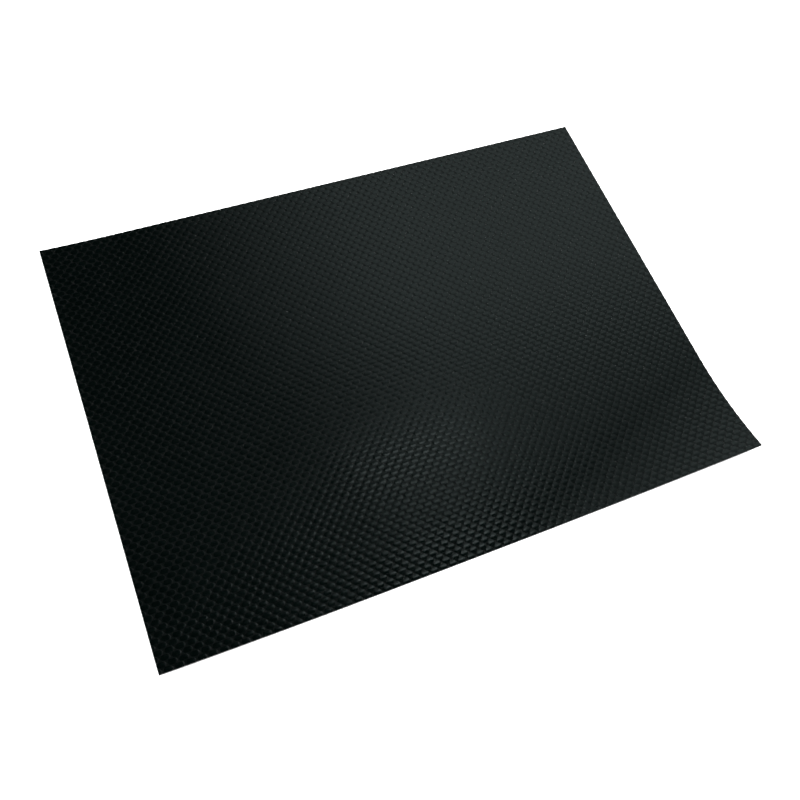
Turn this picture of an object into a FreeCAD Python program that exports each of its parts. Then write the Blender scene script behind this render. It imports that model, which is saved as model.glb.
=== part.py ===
"""Seedling heat mat: a thin, flexible laminate of two PVC covers with a printed film heater between them.

The mat lies flat on its underside. X runs along the long side, Y towards the far long side and Z up.
The origin is the centre of the underside. Sizes are in millimetres.
"""

import FreeCAD, Part
import os

import Sketcher

SHEET = "Sizes"
ORIGIN = (-1, 1)

DRIVING_SIZES = {
    # the whole mat
    "matLength": 350.0,
    "matWidth": 252.0,
    "sealWidth": 10.0,
    # the layers, from the underside up
    "bottomCoverThick": 0.40,
    "lowerAdhesiveThick": 0.10,
    "foilThick": 0.05,
    "lowerFilmThick": 0.10,
    "carbonThick": 0.03,
    "copperThick": 0.05,
    "upperFilmThick": 0.10,
    "upperAdhesiveThick": 0.07,
    "topCoverThick": 0.70,
    # the printed heater
    "busGap": 4.0,
    "busWidth": 8.0,
    "electrodeWidth": 10.0,
    "stripWidth": 9.0,
    "stripPitch": 12.8,
    "stripCount": 23.0,
    "feedToStrip": 16.0,
    "foilGap": 2.0,
    # the two terminals and the opening under them
    "terminalFromEdge": 26.0,
    "terminalPitch": 22.0,
    "feedWidth": 8.0,
    "plateLength": 14.0,
    "plateWidth": 8.0,
    "plateThick": 0.30,
    "openingLength": 44.0,
    "openingWidth": 16.0,
    "liveClearance": 3.0,
    "patchThick": 0.20,
    "insulatorMargin": 3.0,
    # the eyelets
    "eyeletRadius": 1.5,
    "eyeletBore": 1.0,
    "flangeRadius": 2.6,
    "flangeThick": 0.10,
    "flangeClearance": 0.3,
}

document = FreeCAD.newDocument("SeedlingHeatMat")


def write_sizes():
    """Puts each driving size in a spreadsheet row, under an alias of its own."""
    sheet = document.addObject("Spreadsheet::Sheet", SHEET)
    for row, (alias, value) in enumerate(DRIVING_SIZES.items(), start=1):
        sheet.set(f"A{row}", alias)
        sheet.set(f"B{row}", str(value))
        sheet.setAlias(f"B{row}", alias)
    document.recompute()
    return sheet


sizes = write_sizes()


def size(alias):
    """The expression that reads one driving size."""
    return f"{SHEET}.{alias}"


def total(*aliases):
    """The expression for the sum of several driving sizes."""
    return "(" + " + ".join(size(alias) for alias in aliases) + ")"


def number(expression):
    """The value of an expression now, to start a sketch close to its solution."""
    value = sizes.evalExpression(expression)
    return float(getattr(value, "Value", value))


# Heights of the layers' undersides above the bench.
BELOW_FOIL = ("bottomCoverThick", "lowerAdhesiveThick")
BELOW_HEATER = BELOW_FOIL + ("foilThick", "lowerFilmThick")
BELOW_UPPER_FILM = BELOW_HEATER + ("carbonThick", "copperThick")
BELOW_UPPER_ADHESIVE = BELOW_UPPER_FILM + ("upperFilmThick",)
BELOW_TOP_COVER = BELOW_UPPER_ADHESIVE + ("upperAdhesiveThick",)

# Half sizes, measured out from the mat's centre.
HALF_LENGTH = f"{size('matLength')} / 2"
HALF_WIDTH = f"{size('matWidth')} / 2"
HALF_INNER_LENGTH = f"({HALF_LENGTH} - {size('sealWidth')})"
HALF_INNER_WIDTH = f"({HALF_WIDTH} - {size('sealWidth')})"
BUS_OUTER = f"({HALF_INNER_WIDTH} - {size('busGap')})"
BUS_INNER = f"({BUS_OUTER} - {size('busWidth')})"
ELECTRODE_INNER = f"({BUS_OUTER} - {size('electrodeWidth')})"
TERMINAL_X = f"({HALF_LENGTH} - {size('terminalFromEdge')})"
TERMINAL_Y = f"{size('terminalPitch')} / 2"
FEED_LEFT = f"({TERMINAL_X} + {size('feedWidth')} / 2)"
STRIPS_LEFT = f"({TERMINAL_X} - {size('feedToStrip')})"
STRIPS_SPAN = f"(({size('stripCount')} - 1) * {size('stripPitch')} + {size('stripWidth')})"


class Rectangle:
    """A rectangle by how far its left and front edges lie to the left and in front of the centre."""

    def __init__(self, left, front, length, width):
        self.left = left
        self.front = front
        self.length = length
        self.width = width

    def draw(self, sketch):
        """Adds the rectangle to a sketch, with each of its four sizes bound to its expression."""
        x_low = -number(self.left)
        y_low = -number(self.front)
        x_high = x_low + number(self.length)
        y_high = y_low + number(self.width)
        corners = [
            FreeCAD.Vector(x_low, y_low, 0),
            FreeCAD.Vector(x_high, y_low, 0),
            FreeCAD.Vector(x_high, y_high, 0),
            FreeCAD.Vector(x_low, y_high, 0),
        ]
        lines = [
            sketch.addGeometry(Part.LineSegment(corners[i], corners[(i + 1) % 4]), False)
            for i in range(4)
        ]
        for i, line in enumerate(lines):
            sketch.addConstraint(Sketcher.Constraint("Coincident", line, 2, lines[(i + 1) % 4], 1))
            direction = "Horizontal" if i % 2 == 0 else "Vertical"
            sketch.addConstraint(Sketcher.Constraint(direction, line))
        bottom = lines[0]
        side = lines[1]
        bind(sketch, "DistanceX", (bottom, 1) + ORIGIN, self.left)
        bind(sketch, "DistanceY", (bottom, 1) + ORIGIN, self.front)
        bind(sketch, "DistanceX", (bottom, 1, bottom, 2), self.length)
        bind(sketch, "DistanceY", (side, 1, side, 2), self.width)


class Circle:
    """A circle to the left of the centre, in front of it (side -1) or behind it (side 1)."""

    def __init__(self, left, side, offset, radius):
        self.left = left
        self.side = side
        self.offset = offset
        self.radius = radius

    def draw(self, sketch):
        """Adds the circle to a sketch, with its place and radius bound to their expressions."""
        centre = FreeCAD.Vector(-number(self.left), self.side * number(self.offset), 0)
        up = FreeCAD.Vector(0, 0, 1)
        circle = sketch.addGeometry(Part.Circle(centre, up, number(self.radius)), False)
        middle = (circle, 3)
        bind(sketch, "DistanceX", middle + ORIGIN, self.left)
        upwards = middle + ORIGIN if self.side < 0 else ORIGIN + middle
        bind(sketch, "DistanceY", upwards, self.offset)
        bind(sketch, "Radius", (circle,), self.radius)


def bind(sketch, kind, where, expression):
    """Adds one size constraint to a sketch and binds it to an expression."""
    index = sketch.addConstraint(Sketcher.Constraint(kind, *where, number(expression)))
    sketch.setExpression(f"Constraints[{index}]", expression)


def plane_of(body, role):
    """One of a body's own origin planes."""
    return next(feature for feature in body.Origin.OriginFeatures if feature.Role == role)


def sheet_piece(name, base, thickness, *outlines):
    """A flat piece cut to the first outline, with the others as openings, lying at height base."""
    body = document.addObject("PartDesign::Body", name)
    body.Label = name
    sketch = body.newObject("Sketcher::SketchObject", f"{name}_outline")
    sketch.AttachmentSupport = (plane_of(body, "XY_Plane"), [""])
    sketch.MapMode = "FlatFace"
    for outline in outlines:
        outline.draw(sketch)
    pad = body.newObject("PartDesign::Pad", f"{name}_pad")
    pad.Profile = sketch
    pad.setExpression("Length", thickness)
    body.setExpression("Placement.Base.z", base)
    sketch.Visibility = False
    document.recompute()
    return body


def centred(half_length, half_width):
    """A rectangle about the mat's centre."""
    return Rectangle(half_length, half_width, f"2 * {half_length}", f"2 * {half_width}")


def around_terminals(margin):
    """The opening around both terminals, larger all round by margin."""
    return Rectangle(
        f"{TERMINAL_X} + {size('openingWidth')} / 2 + {margin}",
        f"{size('openingLength')} / 2 + {margin}",
        f"{size('openingWidth')} + 2 * {margin}",
        f"{size('openingLength')} + 2 * {margin}",
    )


def both_eyelets(radius):
    """A circle around each eyelet."""
    return [Circle(TERMINAL_X, side, TERMINAL_Y, radius) for side in (-1, 1)]


def covers():
    """The two PVC covers. The lower one has the opening through which the terminals are wired."""
    whole = centred(f"({HALF_LENGTH})", f"({HALF_WIDTH})")
    sheet_piece("bottom_cover", "0", size("bottomCoverThick"), whole, around_terminals("0"))
    sheet_piece("top_cover", total(*BELOW_TOP_COVER), size("topCoverThick"), whole)


def border_seal():
    """The frame of hot melt between the covers, from the heater's edge out to the cut edge."""
    whole = centred(f"({HALF_LENGTH})", f"({HALF_WIDTH})")
    inner = centred(HALF_INNER_LENGTH, HALF_INNER_WIDTH)
    height = f"{total(*BELOW_TOP_COVER)} - {size('bottomCoverThick')}"
    sheet_piece("border_seal", size("bottomCoverThick"), height, whole, inner)


def films():
    """The adhesive, foil and film layers inside the border seal, cut open around the terminals."""
    inner = centred(HALF_INNER_LENGTH, HALF_INNER_WIDTH)
    foil = centred(
        f"({HALF_INNER_LENGTH} - {size('foilGap')})",
        f"({HALF_INNER_WIDTH} - {size('foilGap')})",
    )
    flange_hole = f"{size('flangeRadius')} + {size('flangeClearance')}"
    sheet_piece(
        "lower_adhesive",
        size("bottomCoverThick"),
        size("lowerAdhesiveThick"),
        inner,
        around_terminals("0"),
    )
    sheet_piece(
        "reflector_foil",
        total(*BELOW_FOIL),
        size("foilThick"),
        foil,
        around_terminals(size("liveClearance")),
    )
    sheet_piece(
        "lower_film",
        total(*BELOW_FOIL, "foilThick"),
        size("lowerFilmThick"),
        inner,
        around_terminals("0"),
    )
    sheet_piece(
        "upper_film",
        total(*BELOW_UPPER_FILM),
        size("upperFilmThick"),
        inner,
        *both_eyelets(flange_hole),
    )
    sheet_piece(
        "upper_adhesive",
        total(*BELOW_UPPER_ADHESIVE),
        size("upperAdhesiveThick"),
        inner,
        around_terminals(size("insulatorMargin")),
    )
    sheet_piece(
        "terminal_insulator",
        total(*BELOW_UPPER_ADHESIVE),
        size("upperAdhesiveThick"),
        around_terminals(size("insulatorMargin")),
    )


def box_piece(name, left, front, base, length, width, height):
    """A rectangular piece by how far its left and front faces lie from the mat's centre."""
    box = document.addObject("Part::Box", name)
    box.Label = name
    box.setExpression("Length", length)
    box.setExpression("Width", width)
    box.setExpression("Height", height)
    box.setExpression("Placement.Base.x", f"-({left})")
    box.setExpression("Placement.Base.y", f"-({front})")
    box.setExpression("Placement.Base.z", base)
    return box


def carbon_strips():
    """The printed strips, side by side along the mat, each from one electrode to the other."""
    body = sheet_piece(
        "carbon_strips",
        total(*BELOW_HEATER),
        size("carbonThick"),
        Rectangle(STRIPS_LEFT, ELECTRODE_INNER, size("stripWidth"), f"2 * {ELECTRODE_INNER}"),
    )
    body.AllowCompound = True
    sketch = document.getObject("carbon_strips_outline")
    pattern = body.newObject("PartDesign::LinearPattern", "carbon_strips_row")
    pattern.Originals = [document.getObject("carbon_strips_pad")]
    pattern.Direction = (sketch, ["H_Axis"])
    pattern.setExpression("Occurrences", size("stripCount"))
    pattern.setExpression("Length", f"({size('stripCount')} - 1) * {size('stripPitch')}")
    body.Tip = pattern
    document.recompute()
    return body


def conductors():
    """On each long side, the silver line over the strips' ends, the copper bar and its feed."""
    bus_length = f"({FEED_LEFT} - {STRIPS_LEFT} + {STRIPS_SPAN})"
    feed_length = f"({BUS_INNER} - ({TERMINAL_Y} - {size('plateLength')} / 2))"
    for name, side in (("front", -1), ("rear", 1)):
        electrode_front = BUS_OUTER if side < 0 else f"-{ELECTRODE_INNER}"
        bus_front = BUS_OUTER if side < 0 else f"-{BUS_INNER}"
        feed_front = BUS_INNER if side < 0 else f"({size('plateLength')} / 2 - {TERMINAL_Y})"
        box_piece(
            f"electrode_{name}",
            STRIPS_LEFT,
            electrode_front,
            total(*BELOW_HEATER),
            STRIPS_SPAN,
            size("electrodeWidth"),
            size("carbonThick"),
        )
        box_piece(
            f"bus_bar_{name}",
            FEED_LEFT,
            bus_front,
            total(*BELOW_HEATER, "carbonThick"),
            bus_length,
            size("busWidth"),
            size("copperThick"),
        )
        sheet_piece(
            f"feed_strip_{name}",
            total(*BELOW_HEATER),
            total("carbonThick", "copperThick"),
            Rectangle(FEED_LEFT, feed_front, size("feedWidth"), feed_length),
            Circle(TERMINAL_X, side, TERMINAL_Y, size("eyeletRadius")),
        )


def cylinder(name, side, radius, base, height):
    """A cylinder on an eyelet's axis."""
    part = document.addObject("Part::Cylinder", name)
    part.setExpression("Radius", radius)
    part.setExpression("Height", height)
    part.setExpression("Placement.Base.x", f"-{TERMINAL_X}")
    part.setExpression("Placement.Base.y", f"{side} * {TERMINAL_Y}")
    part.setExpression("Placement.Base.z", base)
    return part


def terminals():
    """On each side, a plate under its feed strip and the hollow eyelet that clamps the two."""
    plate_base = f"({total(*BELOW_HEATER)} - {size('plateThick')})"
    eyelet_base = f"({plate_base} - {size('flangeThick')})"
    eyelet_height = (
        f"({size('flangeThick')} + {size('plateThick')}"
        f" + {total('carbonThick', 'copperThick', 'upperFilmThick')})"
    )
    solids = []
    for name, side in (("front", -1), ("rear", 1)):
        plate_half = f"{size('plateLength')} / 2"
        plate_front = f"({TERMINAL_Y} + {plate_half})" if side < 0 else f"({plate_half} - {TERMINAL_Y})"
        plate = sheet_piece(
            f"terminal_{name}",
            plate_base,
            size("plateThick"),
            Rectangle(
                f"({TERMINAL_X} + {size('plateWidth')} / 2)",
                plate_front,
                size("plateWidth"),
                size("plateLength"),
            ),
            Circle(TERMINAL_X, side, TERMINAL_Y, size("eyeletRadius")),
        )
        lower = cylinder(f"lower_flange_{name}", side, size("flangeRadius"), eyelet_base, size("flangeThick"))
        shank = cylinder(f"shank_{name}", side, size("eyeletRadius"), eyelet_base, eyelet_height)
        upper = cylinder(
            f"upper_flange_{name}",
            side,
            size("flangeRadius"),
            total(*BELOW_UPPER_FILM),
            size("upperFilmThick"),
        )
        bore = cylinder(f"bore_{name}", side, size("eyeletBore"), eyelet_base, eyelet_height)
        solid = document.addObject("Part::MultiFuse", f"eyelet_solid_{name}")
        solid.Shapes = [lower, shank, upper]
        solid.Refine = True
        eyelet = document.addObject("Part::Cut", f"eyelet_{name}")
        eyelet.Label = f"eyelet_{name}"
        eyelet.Base = solid
        eyelet.Tool = bore
        solids += [plate, solid]
    return solids


def terminal_closure(solids):
    """The block of sealant cast around the terminals, and the flush patch under it."""
    opening = around_terminals("0")
    sealant_height = f"({total(*BELOW_HEATER)} - {size('patchThick')})"
    block = box_piece(
        "sealant_block",
        opening.left,
        opening.front,
        size("patchThick"),
        opening.length,
        opening.width,
        sealant_height,
    )
    terminals_inside = document.addObject("Part::MultiFuse", "terminals_inside")
    terminals_inside.Shapes = solids
    sealant = document.addObject("Part::Cut", "terminal_sealant")
    sealant.Label = "terminal_sealant"
    sealant.Base = block
    sealant.Tool = terminals_inside
    sheet_piece("terminal_patch", "0", size("patchThick"), opening)


NODES = [
    "bottom_cover",
    "terminal_patch",
    "terminal_sealant",
    "lower_adhesive",
    "reflector_foil",
    "lower_film",
    "carbon_strips",
    "electrode_front",
    "electrode_rear",
    "bus_bar_front",
    "bus_bar_rear",
    "feed_strip_front",
    "feed_strip_rear",
    "terminal_front",
    "terminal_rear",
    "eyelet_front",
    "eyelet_rear",
    "upper_film",
    "terminal_insulator",
    "upper_adhesive",
    "border_seal",
    "top_cover",
]


def check_document():
    """Stops if any object failed to compute or any sub-part has no sound shape."""
    for thing in document.Objects:
        if {"Invalid", "Error"} & set(thing.State):
            raise RuntimeError(f"{thing.Name} failed: {thing.State}")
    for node in NODES:
        shape = document.getObject(node).Shape
        if shape.isNull() or not shape.isValid() or not shape.Solids:
            raise RuntimeError(f"{node} has no valid shape")


def export_nodes():
    """Writes each sub-part to its own file and prints its size."""
    os.makedirs("parts", exist_ok=True)
    for node in NODES:
        shape = document.getObject(node).Shape
        shape.exportStep(os.path.join("parts", f"{node}.step"))
        bounds = shape.BoundBox
        print(
            f"{node}: {len(shape.Solids)} solid(s), {shape.Volume:.1f} mm3,"
            f" x {bounds.XMin:.2f}..{bounds.XMax:.2f},"
            f" y {bounds.YMin:.2f}..{bounds.YMax:.2f},"
            f" z {bounds.ZMin:.3f}..{bounds.ZMax:.3f}"
        )


covers()
border_seal()
films()
carbon_strips()
conductors()
terminal_closure(terminals())
document.recompute()
check_document()
export_nodes()
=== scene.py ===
"""Seedling heat mat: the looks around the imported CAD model. All sizes are in metres.

The laminate lies on the floor with its two near corners curled up a little. Every layer bends with
one height function, lift(), so that the layers stay stacked. The top cover gets its real embossing.
"""

import math

import bmesh
import bpy
from mathutils import Matrix, Vector


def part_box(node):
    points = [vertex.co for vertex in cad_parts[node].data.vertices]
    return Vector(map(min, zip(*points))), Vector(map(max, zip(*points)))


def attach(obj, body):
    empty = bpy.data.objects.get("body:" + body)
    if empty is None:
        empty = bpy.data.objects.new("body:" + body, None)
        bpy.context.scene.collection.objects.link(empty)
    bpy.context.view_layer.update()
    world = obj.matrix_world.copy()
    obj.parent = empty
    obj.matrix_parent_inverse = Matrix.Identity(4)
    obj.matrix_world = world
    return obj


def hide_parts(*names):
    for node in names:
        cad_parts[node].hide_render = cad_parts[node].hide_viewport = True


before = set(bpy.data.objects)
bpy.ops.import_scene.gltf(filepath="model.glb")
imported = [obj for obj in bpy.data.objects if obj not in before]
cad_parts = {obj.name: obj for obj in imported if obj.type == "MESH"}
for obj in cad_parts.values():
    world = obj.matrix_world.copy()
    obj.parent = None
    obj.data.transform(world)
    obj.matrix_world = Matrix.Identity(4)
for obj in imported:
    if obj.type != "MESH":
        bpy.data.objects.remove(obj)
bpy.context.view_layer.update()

MM = 0.001
MERGE_DISTANCE = 0.001 * MM
MAT_LOW, MAT_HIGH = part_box("top_cover")
MAT_LENGTH = MAT_HIGH.x - MAT_LOW.x
MAT_WIDTH = MAT_HIGH.y - MAT_LOW.y


# ---------------------------------------------------------------- the mat's bend

class Curl:
    """A corner that curls up: its height there falls off as a parabola along one direction."""

    def __init__(self, corner_x, corner_y, inwards, height, reach):
        self.corner = Vector((corner_x, corner_y))
        self.inwards = Vector((math.cos(math.radians(inwards)), math.sin(math.radians(inwards))))
        self.height = height
        self.reach = reach

    def at(self, x, y):
        """How far this curl raises the mat at one place."""
        along = (Vector((x, y)) - self.corner).dot(self.inwards)
        return self.height * max(0.0, 1.0 - along / self.reach) ** 2


CURLS = (
    Curl(MAT_LOW.x, MAT_LOW.y, inwards=19.0, height=9.5 * MM, reach=125 * MM),
    Curl(MAT_HIGH.x, MAT_LOW.y, inwards=111.0, height=9.5 * MM, reach=60 * MM),
)


def lift(x, y):
    """How far the mat is raised off the floor at one place."""
    return math.sqrt(sum(curl.at(x, y) ** 2 for curl in CURLS))


def bend(mesh):
    """Raises each point of a flat mesh by the mat's lift there."""
    for vertex in mesh.vertices:
        vertex.co.z += lift(vertex.co.x, vertex.co.y)


# ---------------------------------------------------------------- materials

NOISE_LOW = 0.3             # a noise field's value is seldom below this
NOISE_HIGH = 0.7            # or above this


class Shader:
    """A Principled material with helpers that add procedural detail in object coordinates."""

    def __init__(self, name, **values):
        self.material = bpy.data.materials.new(name)
        self.material.use_nodes = True
        self.nodes = self.material.node_tree.nodes
        self.links = self.material.node_tree.links
        self.principled = self.nodes["Principled BSDF"]
        self.coordinates = self.nodes.new("ShaderNodeTexCoord").outputs["Object"]
        for socket, value in values.items():
            self.principled.inputs[socket].default_value = value

    def noise(self, size, detail=3.0):
        """A noise field whose features are about this large."""
        node = self.nodes.new("ShaderNodeTexNoise")
        node.inputs["Scale"].default_value = 1.0 / size
        node.inputs["Detail"].default_value = detail
        self.links.new(self.coordinates, node.inputs["Vector"])
        return node.outputs["Fac"]

    def stretched(self, size, stretch):
        """A noise field drawn out along X, as rolled metal and film have."""
        mapping = self.nodes.new("ShaderNodeMapping")
        mapping.inputs["Scale"].default_value = (1.0 / stretch, 1.0, 1.0)
        self.links.new(self.coordinates, mapping.inputs["Vector"])
        node = self.nodes.new("ShaderNodeTexNoise")
        node.inputs["Scale"].default_value = 1.0 / size
        self.links.new(mapping.outputs["Vector"], node.inputs["Vector"])
        return node.outputs["Fac"]

    def ramp(self, factor, low, high):
        """Two colours blended by a noise factor, which seldom leaves the range blended here."""
        node = self.nodes.new("ShaderNodeValToRGB")
        node.color_ramp.elements[0].position = NOISE_LOW
        node.color_ramp.elements[0].color = (*low, 1.0)
        node.color_ramp.elements[1].position = NOISE_HIGH
        node.color_ramp.elements[1].color = (*high, 1.0)
        self.links.new(factor, node.inputs["Fac"])
        return node.outputs["Color"]

    def spread(self, factor, low, high, start=NOISE_LOW, end=NOISE_HIGH):
        """A number from low to high as factor goes from start to end."""
        node = self.nodes.new("ShaderNodeMapRange")
        node.inputs["From Min"].default_value = start
        node.inputs["From Max"].default_value = end
        node.inputs["To Min"].default_value = low
        node.inputs["To Max"].default_value = high
        self.links.new(factor, node.inputs["Value"])
        return node.outputs["Result"]

    def mix(self, factor, first, second):
        """The first colour where factor is 0, the second where it is 1."""
        node = self.nodes.new("ShaderNodeMix")
        node.data_type = "RGBA"
        self.links.new(factor, node.inputs["Factor"])
        for socket, value in ((node.inputs[6], first), (node.inputs[7], second)):
            if isinstance(value, tuple):
                socket.default_value = (*value, 1.0)
            else:
                self.links.new(value, socket)
        return node.outputs[2]

    def attribute(self, name):
        """A number stored on the mesh."""
        node = self.nodes.new("ShaderNodeAttribute")
        node.attribute_name = name
        return node.outputs["Fac"]

    def bump(self, height, distance, strength=1.0):
        """Fine relief that is too small to be built."""
        node = self.nodes.new("ShaderNodeBump")
        node.inputs["Distance"].default_value = distance
        node.inputs["Strength"].default_value = strength
        self.links.new(height, node.inputs["Height"])
        self.links.new(node.outputs["Normal"], self.principled.inputs["Normal"])

    def set(self, socket, output):
        """Drives one socket of the surface."""
        self.links.new(output, self.principled.inputs[socket])


PIT_RISE = 0.1              # the stored rise up to which the vinyl has its pits' rougher finish and its painted shade
BUTTON_RISE = 0.8           # and from which it has the buttons' finish and their unshaded colour


def embossed_vinyl():
    """Black PVC with a faint green tint, rougher in the pits and painted darker there as shade,
    with a few specks of dust.
    """
    shader = Shader("embossed_vinyl", **{"Specular IOR Level": 0.5})
    rise = shader.attribute("rise")
    patches = shader.ramp(shader.noise(35 * MM), (0.0001, 0.0006, 0.0005), (0.0002, 0.0008, 0.0007))
    # painted shade: the base colour is made darker in the pits and grooves, standing in for the
    # shade that falls in them
    above_painted_pit_shade = shader.spread(rise, 0.0, 1.0, PIT_RISE, BUTTON_RISE)
    button = shader.mix(above_painted_pit_shade, (0.0001, 0.0004, 0.0003), patches)
    speck_size = 2.2 * MM
    specks = shader.nodes.new("ShaderNodeTexVoronoi")
    specks.inputs["Scale"].default_value = 1.0 / speck_size
    shader.links.new(shader.coordinates, specks.inputs["Vector"])
    near = shader.spread(specks.outputs["Distance"], 1.0, 0.0, 0.03, 0.055)
    rare = shader.spread(shader.noise(9 * MM), 0.0, 1.0, 0.70, 0.74)
    dust = shader.nodes.new("ShaderNodeMath")
    dust.operation = "MULTIPLY"
    shader.links.new(near, dust.inputs[0])
    shader.links.new(rare, dust.inputs[1])
    shader.set("Base Color", shader.mix(dust.outputs[0], button, (0.05, 0.055, 0.055)))
    shader.set("Roughness", shader.spread(rise, 0.42, 0.19, PIT_RISE, BUTTON_RISE))
    shader.bump(shader.noise(0.35 * MM, detail=2.0), 0.006 * MM, 0.5)
    return shader.material


def plain_vinyl(name, low, high, roughness):
    """Smooth black PVC with a fine calendered grain."""
    shader = Shader(name, **{"Specular IOR Level": 0.4})
    shader.set("Base Color", shader.ramp(shader.noise(20 * MM), low, high))
    shader.set("Roughness", shader.spread(shader.noise(3 * MM), roughness - 0.05, roughness + 0.08))
    shader.bump(shader.noise(0.6 * MM, detail=2.0), 0.02 * MM, 0.7)
    return shader.material


def clear_film(name, low, high, opacity):
    """Clear plastic sheet, slightly clouded, with drawn-out streaks."""
    shader = Shader(name, **{"Alpha": opacity, "IOR": 1.5})
    shader.set("Base Color", shader.ramp(shader.noise(15 * MM), low, high))
    shader.set("Roughness", shader.spread(shader.stretched(2 * MM, 12.0), 0.12, 0.3))
    return shader.material


def rolled_metal(name, low, high, size, roughness):
    """Foil or plate with rolling lines along the mat."""
    shader = Shader(name, **{"Metallic": 1.0})
    lines = shader.stretched(size, 30.0)
    shader.set("Base Color", shader.ramp(lines, low, high))
    shader.set("Roughness", shader.spread(lines, roughness, roughness + 0.18))
    shader.bump(lines, 0.01 * MM, 0.5)
    return shader.material


def printed_ink(name, low, high, roughness, metallic):
    """Screen-printed ink with the mesh's fine grain."""
    shader = Shader(name, **{"Metallic": metallic})
    shader.set("Base Color", shader.ramp(shader.noise(0.8 * MM, detail=4.0), low, high))
    shader.set("Roughness", shader.spread(shader.noise(2 * MM), roughness, roughness + 0.15))
    shader.bump(shader.noise(0.3 * MM), 0.006 * MM, 0.8)
    return shader.material


def soft_filler(name, low, high, roughness):
    """Hot melt or butyl: lumpy and a little uneven in colour."""
    shader = Shader(name)
    shader.set("Base Color", shader.ramp(shader.noise(6 * MM), low, high))
    shader.set("Roughness", shader.spread(shader.noise(2 * MM), roughness, roughness + 0.2))
    shader.bump(shader.noise(1.2 * MM), 0.03 * MM, 0.6)
    return shader.material


def pale_floor():
    """A plain white studio floor."""
    shader = Shader("pale_floor", **{"Specular IOR Level": 0.2})
    clouds = shader.noise(0.25)
    shader.set("Base Color", shader.ramp(clouds, (0.90, 0.90, 0.90), (0.93, 0.93, 0.93)))
    shader.set("Roughness", shader.spread(shader.noise(0.05), 0.75, 0.85))
    return shader.material


def metal_slots():
    """The foil, copper and terminal finishes."""
    return {
        "foil": rolled_metal("foil", (0.80, 0.81, 0.82), (0.92, 0.92, 0.93), 0.6 * MM, 0.18),
        "copper": rolled_metal("copper", (0.72, 0.33, 0.20), (0.88, 0.47, 0.32), 0.5 * MM, 0.25),
        "terminal_metal": rolled_metal(
            "terminal_metal", (0.66, 0.64, 0.56), (0.80, 0.78, 0.70), 0.4 * MM, 0.22
        ),
    }


MATERIALS = {
    "seal_black": soft_filler("seal_black", (0.004, 0.004, 0.004), (0.009, 0.009, 0.009), 0.5),
    "adhesive": clear_film("adhesive", (0.78, 0.76, 0.66), (0.86, 0.84, 0.76), 0.6),
    "film": clear_film("film", (0.82, 0.85, 0.88), (0.90, 0.92, 0.94), 0.4),
    "carbon": printed_ink("carbon", (0.012, 0.012, 0.013), (0.030, 0.030, 0.032), 0.6, 0.0),
    "silver_ink": printed_ink("silver_ink", (0.50, 0.50, 0.51), (0.68, 0.68, 0.69), 0.4, 0.8),
    "polyimide": clear_film("polyimide", (0.60, 0.29, 0.04), (0.75, 0.40, 0.08), 0.8),
    "sealant": soft_filler("sealant", (0.012, 0.012, 0.012), (0.025, 0.025, 0.025), 0.65),
    **metal_slots(),
}
EMBOSSED_VINYL = embossed_vinyl()
COVER_VINYL = plain_vinyl("cover_vinyl", (0.006, 0.007, 0.007), (0.011, 0.012, 0.012), 0.50)
PATCH_VINYL = plain_vinyl("patch_vinyl", (0.009, 0.010, 0.010), (0.016, 0.017, 0.017), 0.60)
PALE_FLOOR = pale_floor()


def finished(piece, material, slot_name, *nodes):
    """Gives a piece its material, hangs it on the root body and hides the CAD nodes that it stands
    for; slot_name is not used.
    """
    piece.data.materials.clear()
    piece.data.materials.append(material)
    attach(piece, "root")
    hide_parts(*nodes)
    return piece


# ---------------------------------------------------------------- the embossed top cover

LATTICE_X = 5.358 * MM      # one button to the next along a row
LATTICE_Y = 5.760 * MM      # one row to the next but one; the one between is half a button across
FIRST_BUTTON = Vector((-0.54 * MM, 1.27 * MM))  # a button's centre, from the near left corner
HALF_X = LATTICE_X / 2
HALF_Y = LATTICE_Y / 2
PIT_DROP = 0.27 * MM        # below the crest, where two grooves cross
GROOVE_DROP = 0.14 * MM     # halfway along a groove
ROOF_DROP = 0.28 * MM       # how far a button's two slopes would fall to its near and far corners
RIM_SHARE = 0.90            # the button's size as a share of its lattice cell
CORNER_ROUNDING = 0.25      # how much of each side the rounded corners take
RIDGE_REACH = 0.56          # from the button's centre to the end of its ridge
RIDGE_HALF_WIDTH = 0.19     # from the ridge's middle to where a slope starts
SHARP_ANGLE = math.radians(14)  # edges that turn by more than this stay sharp


def point(x, y, drop):
    """A point given in half cell sizes about the button's centre, set this far below the crest."""
    return Vector((x * HALF_X, y * HALF_Y, MAT_HIGH.z - drop))


def on_roof(x, y):
    """A point of the button's top, a low roof with its ridge along the row."""
    return point(x, y, ROOF_DROP * abs(y))


CORNERS = [(1, 0), (0, 1), (-1, 0), (0, -1)]


def rim_points():
    """Eight points round the roof: the cell's diamond, a little smaller, with its corners cut."""
    points = []
    for i, corner in enumerate(CORNERS):
        for other in (CORNERS[i - 1], CORNERS[(i + 1) % 4]):
            x = corner[0] + (other[0] - corner[0]) * CORNER_ROUNDING
            y = corner[1] + (other[1] - corner[1]) * CORNER_ROUNDING
            points.append(on_roof(x * RIM_SHARE, y * RIM_SHARE))
    return points


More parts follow.
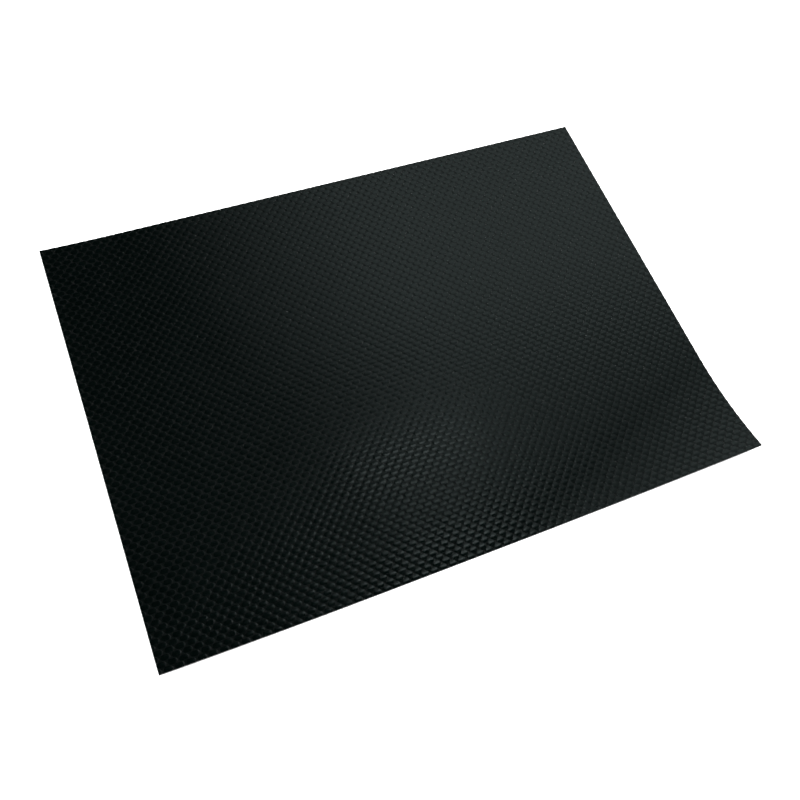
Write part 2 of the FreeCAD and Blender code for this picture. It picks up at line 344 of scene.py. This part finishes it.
def roof_faces(rim):
    """The button's top inside its rim: a narrow rounded ridge with a slope on either side."""
    ends = [point(x, 0, 0) for x in (RIDGE_REACH, -RIDGE_REACH)]
    shoulders = [
        on_roof(x, y)
        for x, y in (
            (RIDGE_REACH, RIDGE_HALF_WIDTH),
            (-RIDGE_REACH, RIDGE_HALF_WIDTH),
            (-RIDGE_REACH, -RIDGE_HALF_WIDTH),
            (RIDGE_REACH, -RIDGE_HALF_WIDTH),
        )
    ]
    return [
        [ends[0], shoulders[0], shoulders[1], ends[1]],
        [ends[0], ends[1], shoulders[2], shoulders[3]],
        [rim[0], rim[1], shoulders[0], ends[0], shoulders[3]],
        [rim[1], rim[2], shoulders[0]],
        [rim[2], rim[3], shoulders[1], shoulders[0]],
        [rim[3], rim[4], shoulders[1]],
        [rim[4], rim[5], shoulders[2], ends[1], shoulders[1]],
        [rim[5], rim[6], shoulders[2]],
        [rim[6], rim[7], shoulders[3], shoulders[2]],
        [rim[7], rim[0], shoulders[3]],
    ]


def button_faces():
    """One cell's top: the walls up from the grooves and pits to the rim, and the roof inside."""
    pits = [point(x, y, PIT_DROP) for x, y in CORNERS]
    middles = ((0.5, 0.5), (-0.5, 0.5), (-0.5, -0.5), (0.5, -0.5))
    grooves = [point(x, y, GROOVE_DROP) for x, y in middles]
    rim = rim_points()
    faces = roof_faces(rim)
    for i in range(4):
        pit = pits[i]
        groove = grooves[i]
        next_pit = pits[(i + 1) % 4]
        before, after, next_before = rim[2 * i], rim[2 * i + 1], rim[(2 * i + 2) % 8]
        faces.append([pit, after, before])
        faces.append([pit, groove, after])
        faces.append([groove, next_before, after])
        faces.append([groove, next_pit, next_before])
    return faces


def clipped(face, axis, limit, side):
    """The part of a face on the inner side of one cut edge of the mat."""
    kept = []
    for i, corner in enumerate(face):
        before = face[i - 1]
        inside = side * (limit - corner[axis]) >= 0
        was_inside = side * (limit - before[axis]) >= 0
        if inside != was_inside:
            cut = before.lerp(corner, (limit - before[axis]) / (corner[axis] - before[axis]))
            cut[axis] = limit
            kept.append(cut)
        if inside:
            kept.append(corner)
    return kept


ON_CUT = 1e-9               # a point this near a cut lies on it
PROFILE_DIGITS = 8          # decimals that tell one point along a cut from the next
CUTS = (
    (0, MAT_LOW.x, -1),
    (0, MAT_HIGH.x, 1),
    (1, MAT_LOW.y, -1),
    (1, MAT_HIGH.y, 1),
)


def cut_to_mat(faces):
    """Faces cut off at the mat's four edges."""
    for axis, limit, side in CUTS:
        faces = [clipped(face, axis, limit, side) for face in faces]
    return [face for face in faces if len(face) > 2]


def cut_walls(faces):
    """The upright faces where a cell is cut through, one for each of the mat's edges it meets."""
    walls = []
    for axis, limit, side in CUTS:
        along = 1 - axis
        profile = {}
        for face in faces:
            for corner in face:
                if abs(corner[axis] - limit) < ON_CUT:
                    profile[round(corner[along], PROFILE_DIGITS)] = corner
        if len(profile) > 1:
            top = [profile[key] for key in sorted(profile)]
            ends = [Vector((end.x, end.y, MAT_LOW.z)) for end in (top[-1], top[0])]
            wall = top + ends
            walls.append(wall if (side > 0) == (axis == 1) else wall[::-1])
    return walls


def cell_centres():
    """The centres of every lattice cell that reaches into the mat."""
    rows = int(2 * MAT_WIDTH / LATTICE_Y) + 3
    columns = int(MAT_LENGTH / LATTICE_X) + 3
    for row in range(-1, rows):
        for column in range(-1, columns):
            shift = 0.5 * (row % 2)
            x = MAT_LOW.x + FIRST_BUTTON.x + (column + shift) * LATTICE_X
            y = MAT_LOW.y + FIRST_BUTTON.y + row * LATTICE_Y / 2
            reaches_x = abs(x) < MAT_LENGTH / 2 + HALF_X
            reaches_y = abs(y) < MAT_WIDTH / 2 + HALF_Y
            if reaches_x and reaches_y:
                yield Vector((x, y, 0.0))


def crosses_edge(centre):
    """Whether the mat's cut edge runs through the cell at this centre."""
    return (
        abs(centre.x) > MAT_LENGTH / 2 - HALF_X
        or abs(centre.y) > MAT_WIDTH / 2 - HALF_Y
    )


def embossed_mesh():
    """The whole top cover: buttons above, cut walls at the four edges and a plain face below."""
    button = button_faces()
    thickness = MAT_HIGH.z - MAT_LOW.z
    under = [[point(x, y, thickness) for x, y in reversed(CORNERS)]]
    made = bmesh.new()
    for centre in cell_centres():
        top = [[corner + centre for corner in face] for face in button]
        below = [[corner + centre for corner in face] for face in under]
        if crosses_edge(centre):
            top = cut_to_mat(top)
            below = cut_to_mat(below) + cut_walls(top)
        for face in top + below:
            made.faces.new([made.verts.new(corner) for corner in face])
    bmesh.ops.remove_doubles(made, verts=made.verts, dist=MERGE_DISTANCE)
    mesh = bpy.data.meshes.new("embossed_cover")
    made.to_mesh(mesh)
    made.free()
    return mesh


def mark_rise(mesh):
    """Stores how high each point stands between the pits, 0, and the crest, 1."""
    rise = mesh.attributes.new("rise", "FLOAT", "POINT")
    for vertex, value in zip(mesh.vertices, rise.data):
        value.value = max(0.0, 1.0 - (MAT_HIGH.z - vertex.co.z) / PIT_DROP)


def embossed_cover():
    """The face that the seed tray stands on."""
    mesh = embossed_mesh()
    mark_rise(mesh)
    bend(mesh)
    mesh.shade_smooth()
    mesh.set_sharp_from_angle(angle=SHARP_ANGLE)
    piece = bpy.data.objects.new("embossed_cover", mesh)
    bpy.context.collection.objects.link(piece)
    return finished(piece, EMBOSSED_VINYL, "cover_black", "top_cover")


# ---------------------------------------------------------------- the other layers

GRID = 7 * MM


def curled_copy(node, name, material, slot_name):
    """A copy of a flat CAD layer, cut into a grid so that it can bend with the mat."""
    low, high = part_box(node)
    made = bmesh.new()
    made.from_mesh(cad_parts[node].data)
    bmesh.ops.remove_doubles(made, verts=made.verts, dist=MERGE_DISTANCE)
    for axis in (0, 1):
        normal = Vector((1.0, 0.0, 0.0)) if axis == 0 else Vector((0.0, 1.0, 0.0))
        step = math.ceil(low[axis] / GRID) * GRID
        while step < high[axis]:
            geometry = made.verts[:] + made.edges[:] + made.faces[:]
            bmesh.ops.bisect_plane(made, geom=geometry, plane_co=normal * step, plane_no=normal)
            step += GRID
    mesh = bpy.data.meshes.new(name)
    made.to_mesh(mesh)
    made.free()
    bend(mesh)
    piece = bpy.data.objects.new(name, mesh)
    bpy.context.collection.objects.link(piece)
    return finished(piece, material, slot_name, node)


INNER_LAYERS = {
    "border_seal": "seal_black",
    "terminal_sealant": "sealant",
    "lower_adhesive": "adhesive",
    "upper_adhesive": "adhesive",
    "reflector_foil": "foil",
    "lower_film": "film",
    "upper_film": "film",
    "carbon_strips": "carbon",
    "electrode_front": "silver_ink",
    "electrode_rear": "silver_ink",
    "bus_bar_front": "copper",
    "bus_bar_rear": "copper",
    "feed_strip_front": "copper",
    "feed_strip_rear": "copper",
    "terminal_front": "terminal_metal",
    "terminal_rear": "terminal_metal",
    "eyelet_front": "terminal_metal",
    "eyelet_rear": "terminal_metal",
    "terminal_insulator": "polyimide",
}


def layers():
    """Every layer under the top cover."""
    for node, slot_name in INNER_LAYERS.items():
        curled_copy(node, f"{node}_laid", MATERIALS[slot_name], slot_name)
    curled_copy("terminal_patch", "terminal_patch_laid", PATCH_VINYL, "cover_black")
    return curled_copy("bottom_cover", "bottom_cover_laid", COVER_VINYL, "cover_black")


# ---------------------------------------------------------------- floor, light and camera

FLOOR_DROP = 0.02 * MM      # keeps the floor's face clear of the underside
FLOOR_HALF = 3.0
BACKDROP_HALF = 3.7
BACKDROP_HEIGHT = 1.8


def square(half, z):
    """Four corners of a level square about the origin."""
    return [(-half, -half, z), (half, -half, z), (half, half, z), (-half, half, z)]


def stage_piece(name, corners, faces):
    """A piece of the studio, in its pale finish, just below the mat."""
    mesh = bpy.data.meshes.new(name)
    mesh.from_pydata(corners, [], faces)
    mesh.materials.append(PALE_FLOOR)
    piece = bpy.data.objects.new(name, mesh)
    bpy.context.collection.objects.link(piece)
    piece.location.z = -FLOOR_DROP


def studio_floor():
    """A wide plain floor under the mat, and a pale slope round it for low views to look onto."""
    stage_piece("floor", square(FLOOR_HALF, 0.0), [(0, 1, 2, 3)])
    corners = square(FLOOR_HALF, 0.0) + square(BACKDROP_HALF, BACKDROP_HEIGHT)
    slopes = [(i, (i + 1) % 4, (i + 1) % 4 + 4, i + 4) for i in range(4)]
    stage_piece("backdrop", corners, slopes)


def softbox(name, low, high, power, colour):
    """A level rectangle of light that faces down, from one corner to the opposite one."""
    data = bpy.data.lights.new(name, "AREA")
    data.shape = "RECTANGLE"
    data.size = high[0] - low[0]
    data.size_y = high[1] - low[1]
    data.energy = power
    data.color = colour
    light = bpy.data.objects.new(name, data)
    light.location = (Vector(low) + Vector(high)) / 2
    bpy.context.collection.objects.link(light)
    return light


GLOSS_TINT = (0.84, 1.0, 0.99)
WHITE = (1.0, 1.0, 1.0)
LIGHT_HEIGHT = 0.50
WINDOW_PANELS = 3
WINDOW_LEFT = -0.05
PANEL_STEP = 0.06           # how far each panel's left edge is from the last one's
PANEL_RISE = 0.005          # keeps overlapping panels apart


def studio_light():
    """A wide even light for the floor, and four soft panels and a small lamp for the gloss.

    The window's three panels overlap, each starting further right, so that its left edge is soft.
    """
    for step in range(WINDOW_PANELS):
        low = (WINDOW_LEFT + PANEL_STEP * step, 0.165, LIGHT_HEIGHT + PANEL_RISE * step)
        softbox(f"window_{step}", low, (0.75, 0.66, low[2]), 0.148, GLOSS_TINT)
    softbox("right_window", (0.16, -0.04, 0.52), (0.76, 0.66, 0.52), 0.34, GLOSS_TINT)
    softbox("lamp", (0.04, 0.005, 0.49), (0.20, 0.035, 0.49), 0.062, GLOSS_TINT)
    overhead = softbox("overhead", (-1.5, -1.5, 2.0), (1.5, 1.5, 2.0), 190.0, WHITE)
    overhead.visible_glossy = False
    world = bpy.data.worlds.new("surround")
    world.use_nodes = True
    background = world.node_tree.nodes["Background"]
    background.inputs["Color"].default_value = (0.7, 1.0, 0.95, 1.0)
    background.inputs["Strength"].default_value = 0.004
    bpy.context.scene.world = world


def studio_camera():
    """Looks down at the mat from beyond its near left corner, with the camera rolled a little."""
    azimuth = math.radians(-38.3)
    elevation = math.radians(64.5)
    roll = math.radians(17.8)
    distance = 480.7 * MM
    target = Vector((-11.4 * MM, -28.3 * MM, MAT_HIGH.z))
    back = Vector(
        (
            math.sin(azimuth) * math.cos(elevation),
            -math.cos(azimuth) * math.cos(elevation),
            math.sin(elevation),
        )
    )
    level = Vector((math.cos(azimuth), math.sin(azimuth), 0.0))
    upright = back.cross(level)
    right = level * math.cos(roll) + upright * math.sin(roll)
    up = upright * math.cos(roll) - level * math.sin(roll)
    data = bpy.data.cameras.new("camera")
    data.sensor_width = 36.0
    data.lens = 38.17
    data.clip_start = 0.01
    camera = bpy.data.objects.new("camera", data)
    turn = Matrix((right, up, back)).transposed()
    camera.matrix_world = Matrix.Translation(target + back * distance) @ turn.to_4x4()
    bpy.context.collection.objects.link(camera)
    bpy.context.scene.camera = camera


bpy.context.scene.view_settings.view_transform = "Standard"
studio_camera()
studio_floor()
studio_light()
top = embossed_cover()
bottom = layers()
